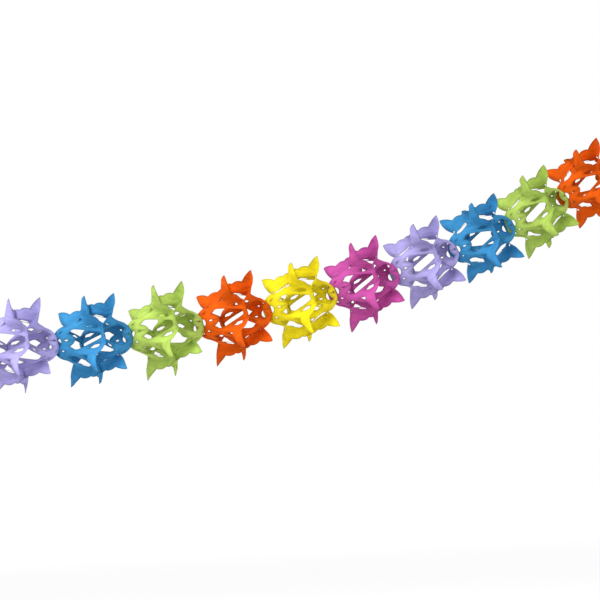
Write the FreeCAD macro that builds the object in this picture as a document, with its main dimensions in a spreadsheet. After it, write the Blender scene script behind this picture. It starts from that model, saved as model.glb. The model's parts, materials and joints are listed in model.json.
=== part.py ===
import FreeCAD, Part
import math
import os
from FreeCAD import Placement, Rotation, Vector

# Paper garland: a hanging strand of coloured lantern-like units. A unit is two
# die-cut paper sheets. Each sheet has four pointed ears, a scalloped rim, a
# lattice of straps and a small petalled rosette in its middle. The two sheets
# of a unit are glued together at their rims, halfway between the ears, and each
# rosette is glued to the rosette of the next unit. Drawn out, the rosettes pull
# apart and the sheets open into a cage. A folded card tab with a punched hole
# is glued to each end.
#
# Frame: X runs along the strand, Z is up, and the origin is the centre of the
# hanging hole in the right-hand tab. Sizes are in millimetres and degrees.

SIZES = (
    ("unit_pitch", 120.0, "length of one unit between its two glued rosettes"),
    ("tip_radius", 82.0, "strand axis to an ear's tip"),
    ("rim_radius", 57.0, "strand axis to the rim at the ears"),
    ("seam_radius", 50.0, "strand axis to the rim at a glued seam"),
    ("rosette_radius", 25.0, "strand axis to the hollows of the rosette's edge"),
    ("petal_rise", 2.6, "height of a rosette petal over its hollows"),
    ("scallop_rise", 2.2, "height of a rim scallop over its hollows"),
    ("ear_half_width", 16.0, "half the width of an ear at its foot"),
    ("ear_lean", 2.0, "how far an ear's tip leans towards the unit's middle"),
    ("ear_twist", 20.0, "twist of an ear about its own length"),
    ("paper_ply", 0.4, "paper thickness, measured along the strand"),
    ("glue_spot_radius", 13.0, "flat middle of a rosette, where the glue is"),
    ("cup_depth", 14.0, "how far a rosette's edge curls back into its unit"),
    ("ear_draw", 22.0, "how far the ears are drawn towards the unit's middle"),
    ("seam_half_width", 12.0, "half the width of the flat that is glued at a seam"),
    ("seam_depth", 8.0, "how far that flat reaches inside the rim"),
    ("slit_width", 1.4, "gap between a rosette and the straps"),
    ("dot_radius", 1.2, "punched dots in the rosette petals"),
    ("crescent_width", 3.6, "crescents cut in the rosette, at their widest"),
    ("pull_inset", 3.0, "how far inside a rosette's edge the seams start to pull the sheet in"),
    ("curl_run", 5.0, "how far outside a rosette's edge its curl ends"),
    ("twist_inset", 8.0, "how far inside the rim an ear's twist starts"),
    ("twist_run", 10.0, "how far outside the rim that twist is full"),
    ("first_slope", 2.5, "rise of the first unit's axis"),
    ("joint_bend", 2.7, "turn of the strand at each glued rosette"),
    ("seam_turn", -11.0, "turn of a unit's upper seam about the strand"),
    ("turn_spread", 4.0, "how far that turn wanders from unit to unit"),
    ("card_ply", 0.8, "card thickness of a hanging tab"),
    ("tab_foot_radius", 10.0, "round foot of a tab, glued to the end rosette"),
    ("tab_reach", 26.0, "end rosette to the centre of a tab's hole"),
    ("tab_width", 16.0, "width of a tab's tongue"),
    ("tab_hole_radius", 2.5, "punched hanging hole"),
)
COLOURS = ("lavender", "blue", "green", "orange", "yellow", "magenta")
UNIT_COUNT = 10
QUARTER = math.radians(90)
EIGHTH = math.radians(45)
SCALLOPS = 5            # bumps of the rim between two ears
GRID = 45               # poles along each side of a sheet's surface
SURFACE_MARGIN = 3      # how far that surface reaches past the ears' tips

doc = FreeCAD.newDocument("paper_garland")
sizes = doc.addObject("Spreadsheet::Sheet", "Sizes")
for row, (name, value, meaning) in enumerate(SIZES, start=1):
    sizes.set("A%d" % row, name)
    sizes.set("B%d" % row, str(value))
    sizes.set("C%d" % row, meaning)
    sizes.setAlias("B%d" % row, name)
doc.recompute()


def size(name):
    return float(sizes.get(name))


PITCH_HALF = size("unit_pitch") / 2
TIP = size("tip_radius")
RIM = size("rim_radius")
SEAM_RIM = size("seam_radius")
ROSETTE = size("rosette_radius")
PLY = size("paper_ply")


# ---------------------------------------------------------------- the sheet's form

def ease(start, end, value):
    """Smooth step from 0 at start to 1 at end."""
    share = min(max((value - start) / (end - start), 0.0), 1.0)
    return share * share * (3 - 2 * share)


def off_seam(angle):
    """Angle to the nearest glued seam. Seams lie at 0 and every quarter turn."""
    return abs((angle + EIGHTH) % QUARTER - EIGHTH)


def off_ear(angle):
    """Signed angle to the nearest ear. Ears lie halfway between the seams."""
    return angle % QUARTER - EIGHTH


def glued_share(radius, angle):
    """1 along a glued seam, 0 along an ear."""
    flat = size("seam_half_width") / max(radius, ROSETTE)
    return 1 - ease(flat, 0.95 * EIGHTH, off_seam(angle))


def sheet_place(radius, angle, tilt):
    """Where a left-hand sheet's outer face lies along the unit's axis.

    The unit's middle plane is 0 and its left-hand joint is -PITCH_HALF.
    """
    pulled = ease(ROSETTE - size("pull_inset"), SEAM_RIM - size("seam_depth"), radius)
    glued = pulled * glued_share(radius, angle)
    cup = size("cup_depth") * ease(size("glue_spot_radius"), ROSETTE + size("curl_run"), radius)
    flat_middle = 1 - ease(size("glue_spot_radius"), ROSETTE, radius)
    twist = math.tan(math.radians(size("ear_twist"))) * radius * off_ear(angle)
    near_ear = 1 - ease(0.4 * EIGHTH, 0.75 * EIGHTH, abs(off_ear(angle)))
    place = -(PITCH_HALF - cup) * (1 - glued) - PLY * glued
    place += size("ear_draw") * (pulled - glued)
    place += size("ear_lean") * ease(RIM, TIP, radius)
    place += twist * near_ear * ease(RIM - size("twist_inset"), RIM + size("twist_run"), radius)
    return place + tilt * flat_middle


def sheet_surface(left_hand, turn):
    """Smooth surface that the paper lies on, in the frame of the seams."""
    reach = TIP + SURFACE_MARGIN
    step = 2 * reach / (GRID - 1)
    bend = math.tan(math.radians(size("joint_bend") / 2))
    poles = []
    for row in range(GRID):
        across = -reach + row * step
        row_poles = []
        for column in range(GRID):
            up = -reach + column * step
            rise = across * math.sin(turn) + up * math.cos(turn)
            forward = -across if left_hand else across
            place = sheet_place(math.hypot(across, up), math.atan2(forward, up), rise * bend)
            row_poles.append(Vector(place if left_hand else -place, across, up))
        poles.append(row_poles)
    knots = [float(knot) for knot in range(GRID - 2)]
    repeats = [4] + [1] * (GRID - 4) + [4]
    surface = Part.BSplineSurface()
    surface.buildFromPolesMultsKnots(poles, repeats, repeats, knots, knots, False, False, 3, 3)
    return surface.toShape()


# ---------------------------------------------------------------- the die-cut outline

def spot(radius, angle):
    """Point of the flat sheet, at an angle from the first seam."""
    return Vector(0, -radius * math.sin(angle), radius * math.cos(angle))


def arc(first, middle, last):
    return Part.Arc(first, middle, last).toShape()


def line(first, last):
    return Part.LineSegment(first, last).toShape()


def rim_at(angle):
    """Radius of the rim, which is drawn in towards the seams."""
    return SEAM_RIM + (RIM - SEAM_RIM) * ease(0.1 * EIGHTH, 0.72 * EIGHTH, off_seam(angle))


def ear_edges(angle):
    """The two curved sides of one pointed ear."""
    half = size("ear_half_width") / RIM
    bulge_radius = RIM + 0.45 * (TIP - RIM)
    bulge = 0.84 * size("ear_half_width") / bulge_radius
    tip = spot(TIP, angle)
    first, last = angle - half, angle + half
    return [arc(spot(rim_at(first), first), spot(bulge_radius, angle - bulge), tip),
            arc(tip, spot(bulge_radius, angle + bulge), spot(rim_at(last), last))]


def scalloped_edges(start, end):
    """A row of equal bumps along the rim."""
    edges = []
    width = (end - start) / SCALLOPS
    for bump in range(SCALLOPS):
        first = start + bump * width
        middle, last = first + width / 2, first + width
        edges.append(arc(spot(rim_at(first), first),
                         spot(rim_at(middle) + size("scallop_rise"), middle),
                         spot(rim_at(last), last)))
    return edges


def outer_outline():
    half = size("ear_half_width") / RIM
    edges = []
    for ear in range(4):
        angle = EIGHTH + ear * QUARTER
        edges += ear_edges(angle)
        edges += scalloped_edges(angle + half, angle + QUARTER - half)
    return Part.Wire(edges)


def ring_spot(share, angle):
    """Point between the rosette's edge at 0 and a seam's rim at 1."""
    return spot(ROSETTE + share * (SEAM_RIM - ROSETTE), angle)


def rosette_window(angle):
    """Slit round the rosette that widens to a kite under a glued seam."""
    end = 0.71 * EIGHTH
    hollow = 0.5 * EIGHTH
    inner = ROSETTE + 0.9 * size("petal_rise")
    outer = ROSETTE + size("petal_rise") + size("slit_width")
    left, right = spot(ROSETTE, angle - hollow), spot(ROSETTE, angle + hollow)
    return Part.Wire([
        line(spot(inner, angle - end), left),
        arc(left, spot(ROSETTE + size("petal_rise"), angle), right),
        line(right, spot(inner, angle + end)),
        line(spot(inner, angle + end), spot(outer, angle + end)),
        arc(spot(outer, angle + end), ring_spot(0.3, angle + 0.33 * EIGHTH),
            ring_spot(0.5, angle + 0.1 * EIGHTH)),
        line(ring_spot(0.5, angle + 0.1 * EIGHTH), ring_spot(0.5, angle - 0.1 * EIGHTH)),
        arc(ring_spot(0.5, angle - 0.1 * EIGHTH), ring_spot(0.3, angle - 0.33 * EIGHTH),
            spot(outer, angle - end)),
        line(spot(outer, angle - end), spot(inner, angle - end))])


def ear_window(angle):
    """Small three-sided window under an ear."""
    inner = ring_spot(0.50, angle)
    left, right = ring_spot(0.86, angle - 0.11 * EIGHTH), ring_spot(0.86, angle + 0.11 * EIGHTH)
    return Part.Wire([line(inner, right), arc(right, ring_spot(0.92, angle), left), line(left, inner)])


def side_window(angle, hand):
    """Five-sided window in the strap beside a glued seam."""
    corners = [ring_spot(share, angle + hand * turn * EIGHTH)
               for share, turn in ((0.34, 0.64), (0.38, 0.44), (0.54, 0.38), (0.62, 0.53), (0.48, 0.69))]
    return Part.makePolygon(corners + corners[:1])


def crescent_window(angle):
    """Crescent cut in the rosette, on the side of a glued seam."""
    half = 0.5 * EIGHTH
    radius = 0.53 * ROSETTE
    width = size("crescent_width")
    ends = spot(radius, angle - half), spot(radius, angle + half)
    return Part.Wire([arc(ends[0], spot(radius - 0.28 * width, angle), ends[1]),
                      arc(ends[1], spot(radius + 0.72 * width, angle), ends[0])])


def dot_window(angle):
    return Part.Wire(Part.makeCircle(size("dot_radius"), spot(0.8 * ROSETTE, angle), Vector(1, 0, 0)))


def die():
    """The cutting die: the flat pattern as a prism along the strand."""
    wires = [outer_outline()]
    for seam in range(4):
        angle = seam * QUARTER
        wires += [rosette_window(angle), crescent_window(angle), dot_window(angle),
                  side_window(angle, 1), side_window(angle, -1),
                  ear_window(angle + EIGHTH), dot_window(angle + EIGHTH)]
    reach = 2 * PITCH_HALF
    prism = Part.Face(wires).extrude(Vector(2 * reach, 0, 0))
    prism.translate(Vector(-reach, 0, 0))
    return prism


# ---------------------------------------------------------------- the strand

def along(slope):
    """Unit vector of the strand's axis at a slope in degrees."""
    return Vector(math.cos(math.radians(slope)), 0, math.sin(math.radians(slope)))


def unit_slope(unit):
    return size("first_slope") + unit * size("joint_bend")


def joint_places():
    """Glued rosettes from left to right, with the right-hand hanging hole at the origin."""
    places = [Vector(0, 0, 0)]
    for unit in range(UNIT_COUNT):
        places.append(places[-1] + along(unit_slope(unit)) * (2 * PITCH_HALF))
    last_slope = unit_slope(UNIT_COUNT - 1) + size("joint_bend") / 2
    hole = places[-1] + along(last_slope) * size("tab_reach")
    return [place - hole for place in places]


def unit_turn(unit):
    return size("seam_turn") + size("turn_spread") * math.sin(2.1 * unit)


def add_sheet(name, cutter, left_hand, unit, joints):
    """One die-cut sheet, set in its place along the strand."""
    turn = unit_turn(unit)
    skin = sheet_surface(left_hand, math.radians(turn)).common(cutter)
    feature = doc.addObject("Part::Feature", name)
    feature.Shape = skin.Faces[0].extrude(Vector(PLY if left_hand else -PLY, 0, 0))
    feature.Label = name
    slope = unit_slope(unit)
    centre = joints[unit] + along(slope) * PITCH_HALF
    pose = Rotation(Vector(0, 1, 0), -slope) * Rotation(Vector(1, 0, 0), turn)
    feature.Placement = Placement(centre, pose)
    return feature


# ---------------------------------------------------------------- the hanging tabs

def bind(item, **expressions):
    for path, expression in expressions.items():
        item.setExpression(path.replace("__", "."), expression)


def add_tab(name, place, turn):
    """Card tab folded to a T: a round glued foot and a tongue with a hole."""
    foot = doc.addObject("Part::Cylinder", name + "_foot")
    foot.Placement.Rotation = Rotation(Vector(0, 1, 0), 90)
    bind(foot, Radius="Sizes.tab_foot_radius", Height="Sizes.card_ply")
    tongue = doc.addObject("Part::Box", name + "_tongue")
    bind(tongue, Length="Sizes.tab_reach", Width="Sizes.card_ply", Height="Sizes.tab_width",
         Placement__Base__y="-Sizes.card_ply / 2", Placement__Base__z="-Sizes.tab_width / 2")
    round_end = doc.addObject("Part::Cylinder", name + "_round_end")
    round_end.Placement.Rotation = Rotation(Vector(1, 0, 0), -90)
    bind(round_end, Radius="Sizes.tab_width / 2", Height="Sizes.card_ply",
         Placement__Base__x="Sizes.tab_reach", Placement__Base__y="-Sizes.card_ply / 2")
    hole = doc.addObject("Part::Cylinder", name + "_hole")
    hole.Placement.Rotation = Rotation(Vector(1, 0, 0), -90)
    bind(hole, Radius="Sizes.tab_hole_radius", Height="2 * Sizes.card_ply",
         Placement__Base__x="Sizes.tab_reach", Placement__Base__y="-Sizes.card_ply")
    card = doc.addObject("Part::MultiFuse", name + "_card")
    card.Shapes = [foot, tongue, round_end]
    tab = doc.addObject("Part::Cut", name)
    tab.Base = card
    tab.Tool = hole
    tab.Label = name
    tab.Placement = Placement(place, turn)
    return tab


# ---------------------------------------------------------------- build and write

cutter = die()
joints = joint_places()
subparts = []
for unit in range(UNIT_COUNT):
    stem = "%s_%d" % (COLOURS[unit % len(COLOURS)], unit // len(COLOURS) + 1)
    subparts.append(add_sheet(stem + "_left_sheet", cutter, True, unit, joints))
    subparts.append(add_sheet(stem + "_right_sheet", cutter, False, unit, joints))

half_bend = size("joint_bend") / 2
left_end_slope = unit_slope(0) - half_bend
right_end_slope = unit_slope(UNIT_COUNT - 1) + half_bend
subparts.append(add_tab("left_end_tab", joints[0], Rotation(Vector(0, 1, 0), 180 - left_end_slope)))
subparts.append(add_tab("right_end_tab", joints[-1], Rotation(Vector(0, 1, 0), -right_end_slope)))

doc.recompute()
for item in doc.Objects:
    if "Invalid" in item.State or "Error" in item.State:
        raise RuntimeError("%s did not build: %s" % (item.Label, item.State))
for item in subparts:
    if item.Shape.isNull() or not item.Shape.isValid() or len(item.Shape.Solids) != 1:
        raise RuntimeError("%s is not one valid solid" % item.Label)

os.makedirs("parts", exist_ok=True)
for item in subparts:
    item.Shape.exportStep(os.path.join("parts", item.Label + ".step"))
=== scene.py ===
import json
import math

import bpy
import numpy as np
from mathutils import Matrix, Quaternion, Vector, geometry, noise


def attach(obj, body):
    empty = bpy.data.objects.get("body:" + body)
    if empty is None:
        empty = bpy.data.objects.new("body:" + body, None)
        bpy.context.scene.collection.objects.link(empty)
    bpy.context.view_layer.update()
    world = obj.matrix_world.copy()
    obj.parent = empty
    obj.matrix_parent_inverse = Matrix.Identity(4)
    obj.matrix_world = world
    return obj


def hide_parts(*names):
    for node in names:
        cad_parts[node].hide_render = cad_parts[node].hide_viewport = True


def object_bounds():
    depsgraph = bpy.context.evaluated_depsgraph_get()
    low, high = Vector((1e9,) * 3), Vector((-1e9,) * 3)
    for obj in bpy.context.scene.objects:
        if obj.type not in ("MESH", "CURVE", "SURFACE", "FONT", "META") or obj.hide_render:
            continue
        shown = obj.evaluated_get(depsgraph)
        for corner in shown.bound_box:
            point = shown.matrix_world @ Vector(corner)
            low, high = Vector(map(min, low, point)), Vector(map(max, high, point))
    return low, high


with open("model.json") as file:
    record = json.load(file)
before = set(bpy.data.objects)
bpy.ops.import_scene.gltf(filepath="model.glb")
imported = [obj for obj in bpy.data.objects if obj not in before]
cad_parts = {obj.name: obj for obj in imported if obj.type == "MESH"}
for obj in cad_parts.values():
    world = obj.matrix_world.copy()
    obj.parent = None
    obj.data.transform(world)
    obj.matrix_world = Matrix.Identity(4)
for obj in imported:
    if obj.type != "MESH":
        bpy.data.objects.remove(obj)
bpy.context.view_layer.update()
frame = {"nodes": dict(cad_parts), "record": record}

# A garland of die-cut paper lanterns, drawn out and hung in a curve. Each unit is two
# sheets that are glued at their rims and bulge apart to the rosettes, where they are
# glued to the next unit. Sizes are in metres, and MM turns a size in millimetres into
# them. Each sheet stands for the CAD node of the same name and follows its form, with
# the thinner ply, the curl and the crinkle of real paper.

MM = 0.001
QUARTER = math.radians(90)
EIGHTH = math.radians(45)

PITCH_HALF = 60 * MM            # middle of a unit to its glued rosettes
TIP = 82 * MM                   # strand axis to an ear's tip
RIM = 63 * MM                   # strand axis to the rim, carried on to the ears
SEAM_RIM = 50 * MM              # strand axis to the rim at a glued seam
ROSETTE = 25 * MM               # strand axis to the hollows of the rosette's edge
PETAL_RISE = 2.6 * MM           # height of a rosette petal over its hollows
SCALLOP_RISE = 2.2 * MM         # height of a rim scallop over its hollows
SCALLOPS = 6                    # scallops of the rim between two ears
EAR_HALF_WIDTH = 15 * MM        # half the width of an ear at its foot
EAR_LEAN = 2 * MM               # how far an ear's tip leans towards the unit's middle
EAR_TWIST = math.radians(6)     # twist of an ear about its own length
EAR_DRAW = 22 * MM              # how far the ears are drawn towards the unit's middle
EAR_FOLD = 1.5 * MM             # height of the crease along each ear
FOLD_HALF_WIDTH = 9 * MM
CUP_DEPTH = 14 * MM             # how far a rosette's edge curls back into its unit
CURL_RUN = 5 * MM               # how far outside a rosette's edge its curl ends
PULL_INSET = 3 * MM             # how far inside that edge the seams start to pull
GLUE_SPOT = 13 * MM             # flat middle of a rosette, where the glue is
SEAM_HALF_WIDTH = 12 * MM       # half the width of the flat that is glued at a seam
SEAM_DEPTH = 8 * MM             # how far that flat reaches inside the rim
TWIST_INSET = 8 * MM            # how far inside the rim an ear's twist starts
TWIST_RUN = 10 * MM             # how far outside the rim that twist is full
SLIT = 1.4 * MM                 # gap between a rosette and the straps
DOT_RADIUS = 1.2 * MM           # punched dots in the rosette petals
CRESCENT = 3.6 * MM             # crescents cut in the rosette, at their widest
FIRST_SLOPE = math.radians(2.5) # rise of the first unit's axis
JOINT_BEND = math.radians(2.7)  # turn of the strand at each glued rosette
SEAM_TURN = math.radians(-11)   # turn of a unit's upper seam about the strand
TURN_SPREAD = math.radians(4)   # how far that turn wanders from unit to unit
TAB_REACH = 26 * MM             # end rosette to the centre of a tab's hole

BROAD_WAVE, BROAD_RISE = 26 * MM, 1.6 * MM      # crinkle of handled paper
SMALL_WAVE, SMALL_RISE = 8 * MM, 0.35 * MM

PLY = 0.18 * MM                 # real paper's thickness, drawn a little full
MESH_STEP = 2.0 * MM            # spacing of a sheet's points
EDGE_STEP = 1.2 * MM            # spacing along its cut edges
EDGE_SHADE_BAND = 2.2 * MM            # how far the painted shade along a cut edge reaches inside it
SHARP_ANGLE = math.radians(50)  # a turn of the surface over this is a hard edge

UNITS = ("lavender_1", "blue_1", "green_1", "orange_1", "yellow_1", "magenta_1",
         "lavender_2", "blue_2", "green_2", "orange_2")
PAPER_COLOURS = {               # sRGB
    "lavender": (0.69, 0.66, 0.86),
    "blue": (0.25, 0.58, 0.78),
    "green": (0.71, 0.81, 0.39),
    "orange": (0.89, 0.38, 0.03),
    "yellow": (0.94, 0.87, 0.13),
    "magenta": (0.78, 0.34, 0.66),
}


# ---------------------------------------------------------------- the sheet's form

def ease(start, end, value):
    """Smooth step from 0 at start to 1 at end."""
    share = np.clip((value - start) / (end - start), 0.0, 1.0)
    return share * share * (3 - 2 * share)


def off_seam(angle):
    """Angle to the nearest glued seam."""
    return np.abs((angle + EIGHTH) % QUARTER - EIGHTH)


def off_ear(angle):
    """Signed angle to the nearest ear."""
    return angle % QUARTER - EIGHTH


def freedom(radius, angle):
    """0 where the sheet is glued, at its middle and its seams, and 1 elsewhere."""
    flat = SEAM_HALF_WIDTH / np.maximum(radius, ROSETTE)
    beside_seam = ease(flat, flat + 0.35, off_seam(angle))
    inside_rim = 1 - ease(SEAM_RIM - 2.2 * SEAM_DEPTH, SEAM_RIM - SEAM_DEPTH, radius)
    past_middle = ease(0.6 * GLUE_SPOT, 1.4 * GLUE_SPOT, radius)
    return past_middle * np.maximum(beside_seam, inside_rim)


def sheet_place(radius, angle, tilt):
    """Where a left-hand sheet's outer face lies along the unit's axis."""
    pulled = ease(ROSETTE - PULL_INSET, SEAM_RIM - SEAM_DEPTH, radius)
    flat = SEAM_HALF_WIDTH / np.maximum(radius, ROSETTE)
    glued = pulled * (1 - ease(flat, 0.95 * EIGHTH, off_seam(angle)))
    cup = CUP_DEPTH * ease(GLUE_SPOT, ROSETTE + CURL_RUN, radius)
    flat_middle = 1 - ease(GLUE_SPOT, ROSETTE, radius)
    twist = math.tan(EAR_TWIST) * radius * off_ear(angle)
    near_ear = 1 - ease(0.4 * EIGHTH, 0.75 * EIGHTH, np.abs(off_ear(angle)))
    place = -(PITCH_HALF - cup) * (1 - glued) - PLY * glued
    place = place + EAR_DRAW * (pulled - glued) + EAR_LEAN * ease(RIM, TIP, radius)
    place = place + twist * near_ear * ease(RIM - TWIST_INSET, RIM + TWIST_RUN, radius)
    beside_fold = np.abs(radius * np.sin(off_ear(angle))) / FOLD_HALF_WIDTH
    fold = np.clip(1 - beside_fold, 0, 1) * ease(0.55 * SEAM_RIM, 0.9 * SEAM_RIM, radius)
    place = place - EAR_FOLD * fold
    return place + tilt * flat_middle


# ---------------------------------------------------------------- the die-cut pattern

def spot(radius, angle):
    """Point of the flat sheet as (across, up), at an angle from the first seam."""
    return Vector((-radius * math.sin(angle), radius * math.cos(angle)))


def run(first, last):
    """Points along a straight cut, without its last point."""
    count = max(1, round((last - first).length / EDGE_STEP))
    return [first.lerp(last, step / count) for step in range(count)]


def arc(first, middle, last):
    """Points along the circle through three points, without the last."""
    a, b = middle - first, last - first
    cross = 2 * (a.x * b.y - a.y * b.x)
    if abs(cross) < 1e-12:
        return run(first, last)
    centre = first + Vector((b.y * a.length_squared - a.y * b.length_squared,
                             a.x * b.length_squared - b.x * a.length_squared)) / cross
    radius = (first - centre).length
    start = math.atan2(first.y - centre.y, first.x - centre.x)
    turn = math.atan2(last.y - centre.y, last.x - centre.x) - start
    turn %= 2 * math.pi
    if cross < 0:
        turn -= 2 * math.pi
    count = max(3, round(abs(turn) * radius / EDGE_STEP))
    return [centre + radius * Vector((math.cos(start + turn * step / count),
                                      math.sin(start + turn * step / count)))
            for step in range(count)]


def rim_at(angle):
    share = max(0.0, float(off_seam(angle)) / EIGHTH - 0.06)
    return SEAM_RIM + (RIM - SEAM_RIM) * share ** 1.25


def ear_outline(angle):
    """A pointed leaf that runs on from the rim, nearly straight to its tip."""
    half = EAR_HALF_WIDTH / RIM
    foot = rim_at(angle + half)
    sides = []
    for hand in (-1, 1):
        corners = []
        for share, width in ((0.30, 0.78), (0.58, 0.54), (0.82, 0.27)):
            radius = foot + share * (TIP - foot)
            corners.append(spot(radius, angle + hand * width * EAR_HALF_WIDTH / radius))
        sides.append([spot(foot, angle + hand * half)] + corners)
    tip = spot(TIP, angle)
    up, down = sides[0], sides[1][::-1]
    return (arc(up[0], up[1], up[2]) + arc(up[2], up[3], tip)
            + arc(tip, down[0], down[1]) + arc(down[1], down[2], down[3]))


def scalloped_outline(start, end):
    points = []
    width = (end - start) / SCALLOPS
    for bump in range(SCALLOPS):
        first = start + bump * width
        middle, last = first + width / 2, first + width
        points += arc(spot(rim_at(first), first), spot(rim_at(middle) + SCALLOP_RISE, middle),
                      spot(rim_at(last), last))
    return points


def outer_outline():
    half = EAR_HALF_WIDTH / RIM
    points = []
    for ear in range(4):
        angle = EIGHTH + ear * QUARTER
        points += ear_outline(angle)
        points += scalloped_outline(angle + half, angle + QUARTER - half)
    return points


def ring_spot(share, angle):
    """Point between the rosette's edge at 0 and a seam's rim at 1."""
    return spot(ROSETTE + share * (SEAM_RIM - ROSETTE), angle)


def rosette_window(angle):
    """Slit round the rosette that widens to a kite under a glued seam."""
    end = 0.71 * EIGHTH
    hollow = 0.5 * EIGHTH
    inner = ROSETTE + 0.9 * PETAL_RISE
    outer = ROSETTE + PETAL_RISE + SLIT
    left, right = spot(ROSETTE, angle - hollow), spot(ROSETTE, angle + hollow)
    return (run(spot(inner, angle - end), left)
            + arc(left, spot(ROSETTE + PETAL_RISE, angle), right)
            + run(right, spot(inner, angle + end))
            + run(spot(inner, angle + end), spot(outer, angle + end))
            + arc(spot(outer, angle + end), ring_spot(0.36, angle + 0.36 * EIGHTH),
                  ring_spot(0.60, angle + 0.1 * EIGHTH))
            + run(ring_spot(0.60, angle + 0.1 * EIGHTH), ring_spot(0.60, angle - 0.1 * EIGHTH))
            + arc(ring_spot(0.60, angle - 0.1 * EIGHTH), ring_spot(0.36, angle - 0.36 * EIGHTH),
                  spot(outer, angle - end))
            + run(spot(outer, angle - end), spot(inner, angle - end)))


def ear_window(angle):
    inner = ring_spot(0.44, angle)
    left, right = ring_spot(0.66, angle - 0.09 * EIGHTH), ring_spot(0.66, angle + 0.09 * EIGHTH)
    return run(inner, right) + arc(right, ring_spot(0.71, angle), left) + run(left, inner)


def side_window(angle, hand):
    shape = ((0.40, 0.62), (0.42, 0.47), (0.53, 0.42), (0.58, 0.54), (0.50, 0.63))
    corners = [ring_spot(share, angle + hand * turn * EIGHTH) for share, turn in shape]
    points = []
    for first, last in zip(corners, corners[1:] + corners[:1]):
        points += run(first, last)
    return points


def crescent_window(angle):
    half = 0.5 * EIGHTH
    radius = 0.62 * ROSETTE
    ends = spot(radius, angle - half), spot(radius, angle + half)
    return (arc(ends[0], spot(radius - 0.28 * CRESCENT, angle), ends[1])
            + arc(ends[1], spot(radius + 0.72 * CRESCENT, angle), ends[0]))


def dot_window(angle, share):
    centre = spot(share * ROSETTE, angle)
    return [centre + DOT_RADIUS * Vector((math.cos(step * EIGHTH), math.sin(step * EIGHTH)))
            for step in range(8)]


def cut_loops():
    """The sheet's outline and, after it, its windows."""
    loops = [outer_outline()]
    for seam in range(4):
        angle = seam * QUARTER
        loops += [rosette_window(angle), crescent_window(angle), dot_window(angle, 0.93),
                  side_window(angle, 1), side_window(angle, -1),
                  ear_window(angle + EIGHTH), dot_window(angle + EIGHTH, 0.8)]
    return loops


def inside(points, loop):
    """Which points lie inside a closed loop."""
    x, y = points[:, 0], points[:, 1]
    found = np.zeros(len(points), bool)
    ends = np.array(loop)
    for (x1, y1), (x2, y2) in zip(ends, np.roll(ends, -1, axis=0)):
        if y1 == y2:
            continue
        crosses = (y1 > y) != (y2 > y)
        found ^= crosses & (x < x1 + (y - y1) * (x2 - x1) / (y2 - y1))
    return found


def flat_sheet():
    """The flat sheet's points, its triangles, and how far each point is from a cut edge."""
    loops = cut_loops()
    edge_points = np.array([point for loop in loops for point in loop])
    edges, start = [], 0
    for loop in loops:
        count = len(loop)
        edges += [(start + step, start + (step + 1) % count) for step in range(count)]
        start += count

    rows = np.arange(-TIP, TIP, MESH_STEP * math.sqrt(0.75))
    columns = np.arange(-TIP, TIP, MESH_STEP)
    grid = np.array([(column + (row % 2) * MESH_STEP / 2, up)
                     for row, up in enumerate(rows) for column in columns])
    grid = grid[inside(grid, loops[0])]
    for loop in loops[1:]:
        grid = grid[~inside(grid, loop)]
    gap = np.sqrt(((grid[:, None] - edge_points[None]) ** 2).sum(2)).min(1)
    grid = grid[gap > 0.55 * MESH_STEP]

    points = [Vector(point) for point in np.vstack([edge_points, grid])]
    points, _, faces, *_ = geometry.delaunay_2d_cdt(points, edges, [], 0, 1e-8)
    points = np.array(points)
    middles = np.array([points[list(face)].mean(0) for face in faces])
    kept = inside(middles, loops[0])
    for loop in loops[1:]:
        kept &= ~inside(middles, loop)
    faces = np.array(faces)[kept]
    used = np.unique(faces)
    faces = np.searchsorted(used, faces)
    points = points[used]
    gap = np.sqrt(((points[:, None] - edge_points[None]) ** 2).sum(2)).min(1)
    return points, faces, gap


# ---------------------------------------------------------------- the strand's curve

def along(slope):
    return Vector((math.cos(slope), 0, math.sin(slope)))


def unit_slope(unit):
    return FIRST_SLOPE + unit * JOINT_BEND


def unit_turn(unit):
    return SEAM_TURN + TURN_SPREAD * math.sin(2.1 * unit)


def mount_place(name):
    return Vector(next(m["pos_m"] for m in frame["record"]["mounts"] if m["name"] == name))


def joint_places():
    """Glued rosettes from left to right, worked back from the right-hand hanging hole."""
    last = len(UNITS) - 1
    tab_slope = unit_slope(last) + JOINT_BEND / 2
    place = mount_place("right_hanging_hole") - along(tab_slope) * TAB_REACH
    places = [place]
    for unit in reversed(range(len(UNITS))):
        place = place - along(unit_slope(unit)) * (2 * PITCH_HALF)
        places.append(place)
    return places[::-1]


# ---------------------------------------------------------------- materials

def linear(colour):
    return tuple(c / 12.92 if c <= 0.04045 else ((c + 0.055) / 1.055) ** 2.4 for c in colour)


def shade(colour, factor):
    return tuple(min(1.0, c * factor) for c in colour) + (1.0,)


def new_node(nodes, kind, **values):
    """New node with values for its input sockets, a space in a name written as _."""
    node = nodes.new(kind)
    for name, value in values.items():
        node.inputs[name.replace("_", " ")].default_value = value
    return node


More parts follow.
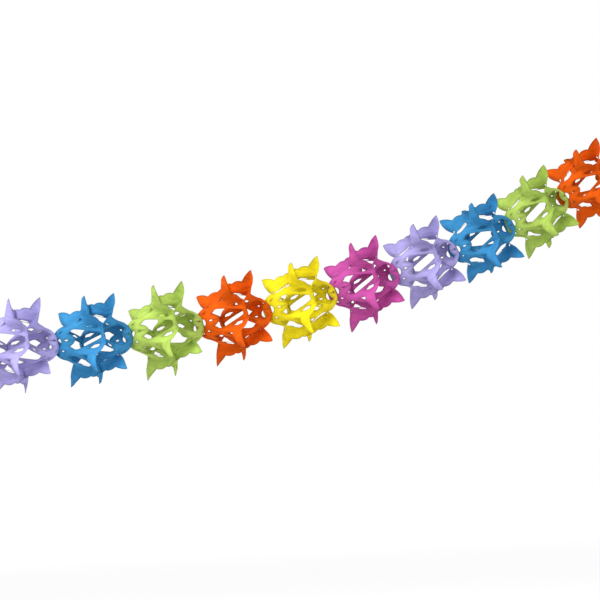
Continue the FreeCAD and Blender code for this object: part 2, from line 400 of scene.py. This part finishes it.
def paper_material(name, colour):
    """Thin dyed paper: fibres, cloudy dye, creases, painted shade along the cut edges, and light
    through it.
    """
    base = linear(colour)
    material = bpy.data.materials.new(name)
    material.use_nodes = True
    nodes, links = material.node_tree.nodes, material.node_tree.links
    principled = nodes["Principled BSDF"]
    output = nodes["Material Output"]

    place = nodes.new("ShaderNodeAttribute")
    place.attribute_name = "flat_place"
    clouds = new_node(nodes, "ShaderNodeTexNoise", Scale=55, Detail=5, Roughness=0.62)
    links.new(place.outputs["Vector"], clouds.inputs["Vector"])

    stretch = new_node(nodes, "ShaderNodeMapping", Scale=(2600, 420, 1))
    links.new(place.outputs["Vector"], stretch.inputs["Vector"])
    fibres = new_node(nodes, "ShaderNodeTexNoise", Scale=1, Detail=4, Distortion=0.9)
    links.new(stretch.outputs["Vector"], fibres.inputs["Vector"])

    dye = nodes.new("ShaderNodeValToRGB")
    dye.color_ramp.elements[0].position = 0.30
    dye.color_ramp.elements[0].color = shade(base, 0.86)
    dye.color_ramp.elements[1].position = 0.72
    dye.color_ramp.elements[1].color = shade(base, 1.26)
    links.new(clouds.outputs["Fac"], dye.inputs["Fac"])

    flecks = nodes.new("ShaderNodeMix")
    flecks.data_type = "RGBA"
    flecks.blend_type = "MULTIPLY"
    flecks.inputs["Factor"].default_value = 0.34
    links.new(dye.outputs["Color"], flecks.inputs[6])
    links.new(fibres.outputs["Color"], flecks.inputs[7])

    # Painted shade: near each cut edge the colour darkens towards 0.45 of the dye.
    edge = nodes.new("ShaderNodeAttribute")
    edge.attribute_name = "painted_edge_shade"
    shade_share = nodes.new("ShaderNodeMath")
    shade_share.operation = "MULTIPLY"
    shade_share.inputs[1].default_value = 0.8
    links.new(edge.outputs["Fac"], shade_share.inputs[0])
    shaded_edge_colour = nodes.new("ShaderNodeMix")
    shaded_edge_colour.data_type = "RGBA"
    links.new(shade_share.outputs["Value"], shaded_edge_colour.inputs["Factor"])
    links.new(flecks.outputs[2], shaded_edge_colour.inputs[6])
    shaded_edge_colour.inputs[7].default_value = shade(base, 0.45)

    crinkle = new_node(nodes, "ShaderNodeTexNoise", Scale=190, Detail=3)
    links.new(place.outputs["Vector"], crinkle.inputs["Vector"])
    soft_bump = new_node(nodes, "ShaderNodeBump", Strength=0.7, Distance=1.4 * MM)
    links.new(crinkle.outputs["Fac"], soft_bump.inputs["Height"])
    fine_bump = new_node(nodes, "ShaderNodeBump", Strength=0.35, Distance=0.08 * MM)
    links.new(fibres.outputs["Fac"], fine_bump.inputs["Height"])

    bend = new_node(nodes, "ShaderNodeTexNoise", Scale=60)
    links.new(place.outputs["Vector"], bend.inputs["Vector"])
    wander = nodes.new("ShaderNodeVectorMath")
    wander.operation = "MULTIPLY_ADD"
    wander.inputs[1].default_value = (0.012, 0.012, 0.012)
    links.new(bend.outputs["Color"], wander.inputs[0])
    links.new(place.outputs["Vector"], wander.inputs[2])
    creases = new_node(nodes, "ShaderNodeTexVoronoi", Scale=62)
    creases.feature = "DISTANCE_TO_EDGE"
    links.new(wander.outputs["Vector"], creases.inputs["Vector"])
    ridge = nodes.new("ShaderNodeMapRange")
    ridge.interpolation_type = "SMOOTHSTEP"
    ridge.inputs["From Max"].default_value = 0.12
    links.new(creases.outputs["Distance"], ridge.inputs["Value"])
    crease_bump = new_node(nodes, "ShaderNodeBump", Strength=0.35, Distance=0.6 * MM)
    links.new(ridge.outputs["Result"], crease_bump.inputs["Height"])
    links.new(soft_bump.outputs["Normal"], crease_bump.inputs["Normal"])
    links.new(crease_bump.outputs["Normal"], fine_bump.inputs["Normal"])

    rough = new_node(nodes, "ShaderNodeMapRange", To_Min=0.72, To_Max=0.92)
    links.new(fibres.outputs["Fac"], rough.inputs["Value"])
    links.new(rough.outputs["Result"], principled.inputs["Roughness"])
    links.new(shaded_edge_colour.outputs[2], principled.inputs["Base Color"])
    links.new(fine_bump.outputs["Normal"], principled.inputs["Normal"])
    principled.inputs["Specular IOR Level"].default_value = 0.12

    through = nodes.new("ShaderNodeBsdfTranslucent")
    links.new(shaded_edge_colour.outputs[2], through.inputs["Color"])
    links.new(fine_bump.outputs["Normal"], through.inputs["Normal"])
    mix = nodes.new("ShaderNodeMixShader")
    mix.inputs["Fac"].default_value = 0.42
    links.new(principled.outputs["BSDF"], mix.inputs[1])
    links.new(through.outputs["BSDF"], mix.inputs[2])
    links.new(mix.outputs["Shader"], output.inputs["Surface"])
    return material


def card_material():
    """White card of the folded end tabs."""
    material = bpy.data.materials.new("tab_card")
    material.use_nodes = True
    nodes, links = material.node_tree.nodes, material.node_tree.links
    principled = nodes["Principled BSDF"]
    place = nodes.new("ShaderNodeTexCoord")
    pulp = new_node(nodes, "ShaderNodeTexNoise", Scale=900, Detail=6)
    links.new(place.outputs["Object"], pulp.inputs["Vector"])
    tint = nodes.new("ShaderNodeValToRGB")
    tint.color_ramp.elements[0].color = (*linear((0.86, 0.85, 0.82)), 1)
    tint.color_ramp.elements[1].color = (*linear((0.96, 0.955, 0.93)), 1)
    links.new(pulp.outputs["Fac"], tint.inputs["Fac"])
    bump = new_node(nodes, "ShaderNodeBump", Strength=0.3, Distance=0.08 * MM)
    links.new(pulp.outputs["Fac"], bump.inputs["Height"])
    links.new(tint.outputs["Color"], principled.inputs["Base Color"])
    links.new(bump.outputs["Normal"], principled.inputs["Normal"])
    principled.inputs["Roughness"].default_value = 0.8
    return material


# ---------------------------------------------------------------- the sheets

def crinkled(points, seed):
    """Gentle waves of handled paper, in metres, for points of the flat sheet."""
    shift = Vector((seed * 7.3, seed * 3.1, seed * 1.7))
    places = [Vector((x, y, 0)) for x, y in points]
    broad = np.array([noise.noise(place / BROAD_WAVE + shift) for place in places])
    small = np.array([noise.noise(place / SMALL_WAVE + 2 * shift) for place in places])
    return BROAD_RISE * broad + SMALL_RISE * small


def make_sheet(name, flat, left_hand, unit, centre, material):
    """One die-cut sheet as a thin solid, in its place along the strand."""
    points, faces, gap = flat
    across, up = points[:, 0], points[:, 1]
    turn, slope = unit_turn(unit), unit_slope(unit)
    radius = np.hypot(across, up)
    angle = np.arctan2(-across if left_hand else across, up)
    rise = across * math.sin(turn) + up * math.cos(turn)
    tilt = rise * math.tan(JOINT_BEND / 2)
    place = sheet_place(radius, angle, tilt)
    seed = 2 * unit + (0 if left_hand else 1)
    place = place + crinkled(points, seed) * freedom(radius, angle)
    side = 1 if left_hand else -1

    mesh = bpy.data.meshes.new(name)
    corners = np.column_stack([side * place, across, up])
    mesh.from_pydata(corners.tolist(), [], faces[:, ::side].tolist())
    flat_place = mesh.attributes.new("flat_place", "FLOAT_VECTOR", "POINT")
    offset = np.column_stack([across + 0.2 * seed, up, np.full(len(up), 0.1 * seed)])
    flat_place.data.foreach_set("vector", offset.ravel())
    # Painted shade: how near each point lies to a cut edge, which darkens the colour there.
    painted_edge_shade = mesh.attributes.new("painted_edge_shade", "FLOAT", "POINT")
    painted_edge_shade.data.foreach_set("value", np.clip(1 - gap / EDGE_SHADE_BAND, 0, 1))
    mesh.transform(Matrix.Translation(centre) @ Matrix.Rotation(-slope, 4, "Y")
                   @ Matrix.Rotation(turn, 4, "X"))

    sheet = bpy.data.objects.new(name, mesh)
    bpy.context.scene.collection.objects.link(sheet)
    mesh.materials.append(material)
    ply = sheet.modifiers.new("ply", "SOLIDIFY")
    ply.thickness = PLY
    ply.offset = -1
    ply.use_quality_normals = True
    solid = bpy.data.meshes.new_from_object(
        sheet.evaluated_get(bpy.context.evaluated_depsgraph_get()))
    sheet.modifiers.clear()
    sheet.data = solid
    bpy.data.meshes.remove(mesh)
    solid.name = name
    solid.shade_smooth()
    solid.set_sharp_from_angle(angle=SHARP_ANGLE)
    return sheet


flat = flat_sheet()
joints = joint_places()
papers = {colour: paper_material(colour + "_paper", value)
          for colour, value in PAPER_COLOURS.items()}
for unit, stem in enumerate(UNITS):
    colour = stem.split("_")[0]
    centre = joints[unit] + along(unit_slope(unit)) * PITCH_HALF
    for hand in ("left", "right"):
        node = "%s_%s_sheet" % (stem, hand)
        sheet = make_sheet(node + "_paper", flat, hand == "left", unit, centre, papers[colour])
        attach(sheet, "root")
        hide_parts(node)

card = card_material()
for node in ("left_end_tab", "right_end_tab"):
    tab = frame["nodes"][node]
    tab.data.materials.clear()
    tab.data.materials.append(card)


# ---------------------------------------------------------------- stage, light, camera

def make_stage(low, high):
    """Plain pale floor below the strand, which fades into the white around it."""
    middle = (low + high) / 2
    mesh = bpy.data.meshes.new("floor")
    floor_height = low.z - FLOOR_DROP
    steps = [2 * math.pi * step / FLOOR_CORNERS for step in range(FLOOR_CORNERS)]
    corners = [(middle.x + FLOOR_RADIUS * math.cos(step), middle.y + FLOOR_RADIUS * math.sin(step),
                floor_height) for step in steps]
    mesh.from_pydata(corners, [], [tuple(range(FLOOR_CORNERS))])
    stage = bpy.data.objects.new("floor", mesh)
    bpy.context.scene.collection.objects.link(stage)

    material = bpy.data.materials.new("stage")
    material.use_nodes = True
    nodes, links = material.node_tree.nodes, material.node_tree.links
    principled = nodes["Principled BSDF"]
    principled.inputs["Base Color"].default_value = (0.86, 0.86, 0.86, 1)
    principled.inputs["Roughness"].default_value = 0.9
    glow = new_node(nodes, "ShaderNodeEmission", Color=(1, 1, 1, 1), Strength=1)
    place = nodes.new("ShaderNodeNewGeometry")
    away = nodes.new("ShaderNodeVectorMath")
    away.operation = "DISTANCE"
    away.inputs[1].default_value = (middle.x, middle.y, floor_height)
    links.new(place.outputs["Position"], away.inputs[0])
    fade = new_node(nodes, "ShaderNodeMapRange", From_Min=0.25 * FLOOR_RADIUS,
                    From_Max=0.95 * FLOOR_RADIUS, To_Min=0.75)
    links.new(away.outputs["Value"], fade.inputs["Value"])
    path = nodes.new("ShaderNodeLightPath")
    seen = nodes.new("ShaderNodeMath")
    seen.operation = "MULTIPLY"
    links.new(fade.outputs["Result"], seen.inputs[1])
    links.new(path.outputs["Is Camera Ray"], seen.inputs[0])
    mix = nodes.new("ShaderNodeMixShader")
    links.new(seen.outputs["Value"], mix.inputs["Fac"])
    links.new(principled.outputs["BSDF"], mix.inputs[1])
    links.new(glow.outputs["Emission"], mix.inputs[2])
    links.new(mix.outputs["Shader"], nodes["Material Output"].inputs["Surface"])
    mesh.materials.append(material)


def area_light(name, place, target, width, power):
    data = bpy.data.lights.new(name, "AREA")
    data.shape = "DISK"
    data.size = width
    data.energy = power
    light = bpy.data.objects.new(name, data)
    light.location = place
    light.rotation_mode = "QUATERNION"
    light.rotation_quaternion = (target - place).to_track_quat("-Z", "Y")
    bpy.context.scene.collection.objects.link(light)


def towards(azimuth, elevation):
    """Unit vector from the strand towards a viewer at that azimuth, where 0 looks along +Y."""
    return Vector((math.sin(azimuth) * math.cos(elevation),
                   -math.cos(azimuth) * math.cos(elevation), math.sin(elevation)))


FLOOR_DROP = 0.42               # strand's lowest point to the floor
FLOOR_RADIUS = 9.0
FLOOR_CORNERS = 64
VIEW_AZIMUTH = math.radians(-28)
VIEW_DISTANCE = 3.5
VIEW_DROP = 0.393               # how far the camera is below the strand's middle
LOOK_AZIMUTH = math.radians(-27.36)
LOOK_DOWN = math.radians(-5.38) # below zero, the camera looks up
LOOK_ROLL = math.radians(-2.64)
LENS = 132.6                    # millimetres, on a sensor of SENSOR
SENSOR = 36

low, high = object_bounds()
middle = (low + high) / 2
make_stage(low, high)
area_light("key", middle + 2.6 * towards(math.radians(-62), math.radians(38)), middle, 1.6, 120)
area_light("fill", middle + 3.0 * towards(math.radians(35), math.radians(12)), middle, 2.2, 40)

world = bpy.data.worlds.new("studio")
bpy.context.scene.world = world
world.use_nodes = True
sky = world.node_tree.nodes["Background"]
sky.inputs["Color"].default_value = (1, 1, 1, 1)
path = world.node_tree.nodes.new("ShaderNodeLightPath")
level = world.node_tree.nodes.new("ShaderNodeMapRange")
level.inputs["To Min"].default_value = 0.86
level.inputs["To Max"].default_value = 1.0
world.node_tree.links.new(path.outputs["Is Camera Ray"], level.inputs["Value"])
world.node_tree.links.new(level.outputs["Result"], sky.inputs["Strength"])

lens = bpy.data.cameras.new("camera")
camera = bpy.data.objects.new("camera", lens)
bpy.context.scene.collection.objects.link(camera)
bpy.context.scene.camera = camera
ends = [joints[unit] + along(unit_slope(unit)) * PITCH_HALF for unit in (0, len(UNITS) - 1)]
camera.location = ((ends[0] + ends[1]) / 2 + VIEW_DISTANCE * towards(VIEW_AZIMUTH, 0)
                   - Vector((0, 0, VIEW_DROP)))
camera.rotation_mode = "QUATERNION"
camera.rotation_quaternion = ((-towards(LOOK_AZIMUTH, LOOK_DOWN)).to_track_quat("-Z", "Y")
                              @ Quaternion((0, 0, 1), LOOK_ROLL))
lens.sensor_width = SENSOR
lens.lens = LENS
lens.clip_end = 100
bpy.context.scene.view_settings.view_transform = "Standard"
